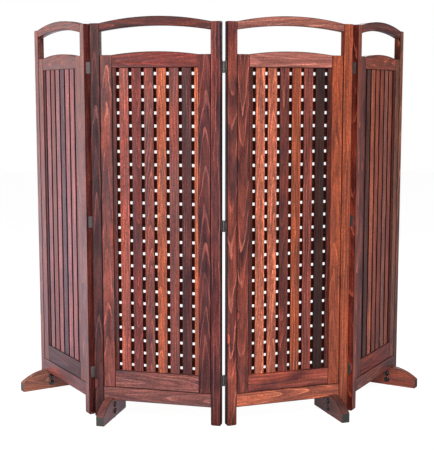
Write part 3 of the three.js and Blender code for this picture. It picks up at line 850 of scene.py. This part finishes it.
def foot(panel):
    """A foot sawn from one board, with an arched crown, blunt noses and a notch, and its packing pad."""
    x0, x1 = on_side(panel, FOOT_NEAR, FOOT_FAR)
    low, high = (x0, FOOT_FRONT, 0), (x1, FOOT_BACK, FOOT_NOSE)
    notch = (-SEAM, PANEL_THICKNESS + SEAM)
    work = new_work()
    cut_cube(work, low, high)
    steps = [FOOT_FRONT + (FOOT_BACK - FOOT_FRONT) * i / FOOT_STEPS for i in range(1, FOOT_STEPS)]
    steps = [y for y in steps if min(abs(y - wall) for wall in notch) > NOTCH_CLEAR]
    walls = [notch[0] - NOTCH_WALL, *notch, notch[1] + NOTCH_WALL]
    slice_along(work, "y", sorted(steps + walls))

    def outline(y):
        top = FOOT_NOSE + arc_rise(y, FOOT_FRONT, FOOT_BACK, FOOT_CROWN - FOOT_NOSE)
        inside = notch[0] - NOTCH_WALL / 2 < y < notch[1] + NOTCH_WALL / 2
        return 0, min(top, BOTTOM_RAIL_LOW - SEAM) if inside else top

    def along_x(edge):
        return abs(edge.verts[0].co.x - edge.verts[1].co.x)

    def in_notch(edge):
        return all(notch[0] - 1 < v.co.y < notch[1] + 1 for v in edge.verts)

    for v in unmarked(work):
        if v.co.z > 1:
            v.co.z = outline(v.co.y)[1]
    sole = [
        e
        for e in sharp_edges(unmarked(work))
        if all(v.co.z < 1 for v in e.verts) and abs(e.verts[0].co.y - e.verts[1].co.y) < 1
    ]
    soften(work, sole, FOOT_NOSE_BEVEL, segments=3)
    outer = [e for e in sharp_edges(unmarked(work)) if not in_notch(e)]
    sides = [e for e in outer if along_x(e) < 0.01]
    noses = [e for e in outer if along_x(e) > 1 and all(v.co.z > FOOT_NOSE - 1 for v in e.verts)]
    soften(work, sides + noses, FOOT_ARRIS)
    mark_board(work, low, (x1, FOOT_BACK, FOOT_CROWN), "y", FOOT_STAINS[panel], "z", outline)
    x0, x1 = on_side(panel, PAD_NEAR, FOOT_NEAR - GLUE_LINE)
    low = (x0, PAD_MARGIN, PAD_MARGIN)
    high = (x1, PANEL_THICKNESS - PAD_MARGIN, BOTTOM_RAIL_LOW - PAD_MARGIN)
    plain_board(work, low, high, "z", "y", "umber", PAD_ARRIS)
    finish_piece(work, f"foot_board_{panel}", panel, "feet", [f"foot_{panel}"])


def knob_bolt(panel, level):
    """A knob bolt: moulded dome head with a rolled rim, on a shank that runs into the leg."""
    shank, knob, rim = BOLT_RADIUS, KNOB_RADIUS, KNOB_RIM
    profile = [(0, -BOLT_LENGTH), (shank - 0.6, -BOLT_LENGTH), (shank, -BOLT_LENGTH + 0.8), (shank, 0)]
    # The rim's two edges are rolled round, and each of these points lies on a roll.
    profile += [(knob - 1.6, 0), (knob - 0.5, 0.3), (knob, KNOB_ROLL), (knob, rim - KNOB_ROLL)]
    profile += [(knob - 0.35, rim - 0.35), (knob - 1.1, rim + 0.1)]
    for i in range(DOME_STEPS + 1):
        angle = math.radians(DOME_START + (90 - DOME_START) * i / DOME_STEPS)
        profile.append(((knob - 1.0) * math.cos(angle), rim + KNOB_DOME * math.sin(angle)))
    profile[-1] = (0, rim + KNOB_DOME)
    work = bmesh.new()
    points = [work.verts.new((h, 0, r)) for r, h in profile]
    lines = [work.edges.new(pair) for pair in zip(points, points[1:])]
    bmesh.ops.spin(
        work,
        geom=points + lines,
        cent=(0, 0, 0),
        axis=(1, 0, 0),
        angle=2 * math.pi,
        steps=KNOB_FACETS,
        use_merge=True,
    )
    bmesh.ops.remove_doubles(work, verts=work.verts, dist=0.01)
    if FOOT_SIDE[panel] == "right":
        bmesh.ops.scale(work, vec=(-1, 1, 1), verts=work.verts)
        seat = PANEL_WIDTH - FOOT_FAR - SEAM
    else:
        seat = FOOT_FAR + SEAM
    bmesh.ops.recalc_face_normals(work, faces=work.faces)
    bmesh.ops.translate(work, vec=(seat, PANEL_THICKNESS / 2, BOLT_HEIGHTS[level]), verts=work.verts)
    node = f"{level}_knob_bolt_{panel}"
    finish_piece(work, f"{level}_domed_knob_{panel}", panel, "knobs", [node], smooth_below=40)


def leaf_screw(work, height):
    """A countersunk screw head, a little proud of the leaf, with a shallow recess."""
    head = bmesh.ops.create_cone(
        work,
        cap_ends=True,
        segments=SCREW_FACETS,
        radius1=SCREW_RADIUS,
        radius2=SCREW_FACE_RADIUS,
        depth=SCREW_HEAD,
    )["verts"]
    faces = {f for v in head for f in v.link_faces}
    top = [f for f in faces if len(f.verts) > 8 and f.calc_center_median().z > 0]
    rim = bmesh.ops.inset_individual(work, faces=top, thickness=SCREW_RIM, depth=-SCREW_RECESS)
    around = {v for f in rim["faces"] for v in f.verts} | set(head)
    around |= {v for f in top if f.is_valid for v in f.verts}
    turned = Matrix.Translation((-LEAF_OUTER + SCREW_PROUD, -LEAF_WIDTH / 2 - PIN_OFFSET, height))
    turned = turned @ Matrix.Rotation(math.radians(90), 4, "Y")
    bmesh.ops.transform(work, matrix=turned, verts=list(around))


def hinge_leaf(panel, joint, height_name, kind):
    """One leaf of a butt hinge: rounded plate, rolled knuckles, and two countersunk screws.

    It is made for the stile at the left of the pin, with the pin as its origin, and mirrored for the other
    stile.
    """
    third = HINGE_HEIGHT / 3
    low, middle, high = (
        (-1.5 * third, -0.5 * third - KNUCKLE_GAP),
        (-0.5 * third + KNUCKLE_GAP, 0.5 * third - KNUCKLE_GAP),
        (0.5 * third + KNUCKLE_GAP, 1.5 * third),
    )
    own = (low, high) if kind == "pin_leaf" else (middle,)
    work = bmesh.new()
    edge = -KNUCKLE_RADIUS - LEAF_TO_KNUCKLE
    cut_cube(work, (-LEAF_INNER, -LEAF_WIDTH, -HINGE_HEIGHT / 2), (-LEAF_OUTER, edge, HINGE_HEIGHT / 2))
    for level in (low[1], *middle, high[0]):
        geom = list(work.verts) + list(work.edges) + list(work.faces)
        bmesh.ops.bisect_plane(work, geom=geom, plane_co=(0, 0, level), plane_no=(0, 0, 1))
    tabs = []
    for face in work.faces:
        face.normal_update()
        at = face.calc_center_median().z
        if face.normal.y > 0.9 and any(z0 < at < z1 for z0, z1 in own):
            tabs.append(face)
    for face in tabs:
        moved = bmesh.ops.extrude_face_region(work, geom=[face])
        verts = [v for v in moved["geom"] if isinstance(v, bmesh.types.BMVert)]
        bmesh.ops.translate(work, vec=(TAB_LIFT, -edge - TAB_SHORT, 0), verts=verts)
    bmesh.ops.delete(work, geom=tabs, context="FACES_ONLY")
    corners = [
        e
        for e in work.edges
        if all(v.co.y < -LEAF_WIDTH + NEAR and abs(abs(v.co.z) - HINGE_HEIGHT / 2) < NEAR for v in e.verts)
    ]
    soften(work, corners, LEAF_CORNER, segments=4)
    soften(work, sharp_edges(work.verts, above=60), LEAF_ARRIS, segments=1)
    for z0, z1 in own:
        drum = bmesh.ops.create_cone(
            work,
            cap_ends=True,
            segments=KNUCKLE_FACETS,
            radius1=KNUCKLE_RADIUS,
            radius2=KNUCKLE_RADIUS,
            depth=z1 - z0,
        )["verts"]
        bmesh.ops.translate(work, vec=(0, 0, (z0 + z1) / 2), verts=drum)
        around = {e for v in drum for e in v.link_edges}
        rims = [e for e in around if abs(e.verts[0].co.z - e.verts[1].co.z) < 0.01]
        soften(work, rims, KNUCKLE_ARRIS)
    for height in (-SCREW_SPACING / 2, SCREW_SPACING / 2):
        leaf_screw(work, height)
    if kind == "bored_leaf":
        bmesh.ops.scale(work, vec=(-1, 1, 1), verts=work.verts)
        bmesh.ops.reverse_faces(work, faces=work.faces)
    x = PIN_X["right" if kind == "pin_leaf" else "left"]
    bmesh.ops.translate(work, vec=(x, PIN_DEPTH, HINGE_CENTRES[height_name]), verts=work.verts)
    node = f"{joint}_{height_name}_hinge_{kind}"
    finish_piece(work, f"stamped_{node}", panel, "hinges", [node], smooth_below=35)


for number in PLACE:
    stile(number, "left")
    stile(number, "right")
    outer_rails(number)
    inner_frame(number)
    lattice(number)
    foot(number)
    for bolt_level in BOLT_HEIGHTS:
        knob_bolt(number, bolt_level)

for joint_name, left_panel, right_panel in (("left", 1, 2), ("centre", 2, 3), ("right", 3, 4)):
    for hinge_height in HINGE_CENTRES:
        hinge_leaf(left_panel, joint_name, hinge_height, "pin_leaf")
        hinge_leaf(right_panel, joint_name, hinge_height, "bored_leaf")

# ------------------------------------------------------------------ stage, light and camera

FLOOR_SIZE = 14
# How bright the floor glows, how much of that the camera sees, and how it shows in the wood's satin coat.
FLOOR_GLOW = 1.17
SEEN_GLOW = 0.8
COOL_SHEEN = (1.5, 1.55, 1.85, 1.0)

SENSOR_HEIGHT = 36.0
PICTURE_HEIGHT = 450.0
FOCAL_LENGTH = 1014.9 / PICTURE_HEIGHT
CAMERA_PLACE = (-0.2294, -4.4011, 1.3557)
CAMERA_DOWN = 7.231
CAMERA_TO_THE_RIGHT = 2.662


def white_floor():
    """Matt white studio floor. The camera sees it nearly burnt out, with the object's shadow left in it."""
    material, tree = new_material("matt_white_studio_floor")
    matt = add(tree, SHADER, None, {"Base Color": linear("#f4f4f2"), "Roughness": 0.9})
    path = add(tree, LIGHT_PATH).outputs
    seen = add(tree, MATHS, LARGER, {0: path["Is Camera Ray"], 1: path["Is Transmission Ray"]})
    seen = add(tree, MATHS, TIMES, {0: seen, 1: SEEN_GLOW})
    part = add(tree, MATHS, LARGER, {0: seen, 1: path["Is Glossy Ray"]})
    # In the wood's satin coat the floor is bright at the left, below the white wall, and dim at the right.
    side = add(tree, SPLIT, None, {0: add(tree, COORDINATES).outputs["Object"]}).outputs["X"]
    sheen = add(tree, RANGE, None, {0: side, 1: -3.0, 2: 0.5, 3: FLOOR_GLOW, 4: 0.2})
    power = add(tree, MIX, NUMBERS, {0: path["Is Glossy Ray"], 2: FLOOR_GLOW, 3: sheen})
    cool = add(tree, MIX, COLOURS, {0: path["Is Glossy Ray"], 6: (1, 1, 1, 1), 7: COOL_SHEEN}).outputs[2]
    glow = add(tree, "ShaderNodeEmission", None, {"Color": cool, "Strength": power})
    mixed = add(tree, "ShaderNodeMixShader", None, {0: part, 1: matt, 2: glow})
    add(tree, SURFACE, None, {"Surface": mixed})
    return material


def white_studio():
    """The studio's left wall is white and its right side is open and dim. The camera sees plain white."""
    world = bpy.data.worlds.new("white_studio")
    world.use_nodes = True
    tree = world.node_tree
    tree.nodes.clear()
    path = add(tree, LIGHT_PATH).outputs
    seen = add(tree, MATHS, LARGER, {0: path["Is Camera Ray"], 1: path["Is Transmission Ray"]})
    side = add(tree, SPLIT, None, {0: add(tree, COORDINATES).outputs["Generated"]}).outputs["X"]
    walls = add(tree, RANGE, None, {0: side, 1: -0.9, 2: -0.3, 3: 1.1, 4: 0.08})
    gloss = add(tree, RANGE, None, {0: path["Is Glossy Ray"], 1: 0.0, 2: 1.0, 3: 1.0, 4: 1.5})
    walls = add(tree, MATHS, TIMES, {0: walls, 1: gloss})
    level = add(tree, MIX, NUMBERS, {0: seen, 2: walls, 3: 1.0})
    backdrop = add(tree, "ShaderNodeBackground", None, {"Color": (1, 1, 1, 1), "Strength": level})
    add(tree, "ShaderNodeOutputWorld", None, {"Surface": backdrop})
    return world


floor_work = bmesh.new()
bmesh.ops.create_grid(floor_work, x_segments=1, y_segments=1, size=FLOOR_SIZE)
floor_mesh = bpy.data.meshes.new("studio_floor")
floor_work.to_mesh(floor_mesh)
floor_work.free()
floor_mesh.materials.append(white_floor())
floor = bpy.data.objects.new("studio_floor", floor_mesh)
bpy.context.scene.collection.objects.link(floor)
bpy.context.scene.world = white_studio()


def softbox(name, place, aim, size, watts):
    light = bpy.data.lights.new(name, "AREA")
    light.shape = "RECTANGLE"
    light.size, light.size_y = size
    light.energy = watts
    lamp = bpy.data.objects.new(name, light)
    lamp.location = place
    lamp.rotation_euler = (Vector(aim) - Vector(place)).to_track_quat("-Z", "Y").to_euler()
    bpy.context.scene.collection.objects.link(lamp)


softbox("left_softbox", place=(-4.6, -2.0, 2.9), aim=(-0.3, 0.0, 0.9), size=(2.0, 2.8), watts=133)
softbox("front_softbox", place=(0.5, -4.6, 4.2), aim=(0.1, 0.0, 0.8), size=(3.0, 1.6), watts=210)
softbox("right_fill", place=(3.0, 0.5, 2.8), aim=(0.8, 0.1, 1.4), size=(0.8, 0.8), watts=12)
softbox("rear_softbox", place=(0.9, 4.4, 2.6), aim=(0.0, 0.2, 0.8), size=(3.2, 2.0), watts=90)
softbox("low_strip", place=(0.1, -3.6, 0.25), aim=(0.0, 0.0, 0.1), size=(0.9, 0.3), watts=12)

camera_data = bpy.data.cameras.new("photo_camera")
camera_data.sensor_fit = "VERTICAL"
camera_data.sensor_height = SENSOR_HEIGHT
camera_data.lens = SENSOR_HEIGHT * FOCAL_LENGTH
camera_data.clip_end = 100
camera = bpy.data.objects.new("photo_camera", camera_data)
camera.location = CAMERA_PLACE
camera.rotation_euler = (math.radians(90 - CAMERA_DOWN), 0, math.radians(-CAMERA_TO_THE_RIGHT))
bpy.context.scene.collection.objects.link(camera)
bpy.context.scene.camera = camera
bpy.context.scene.view_settings.view_transform = "Standard"
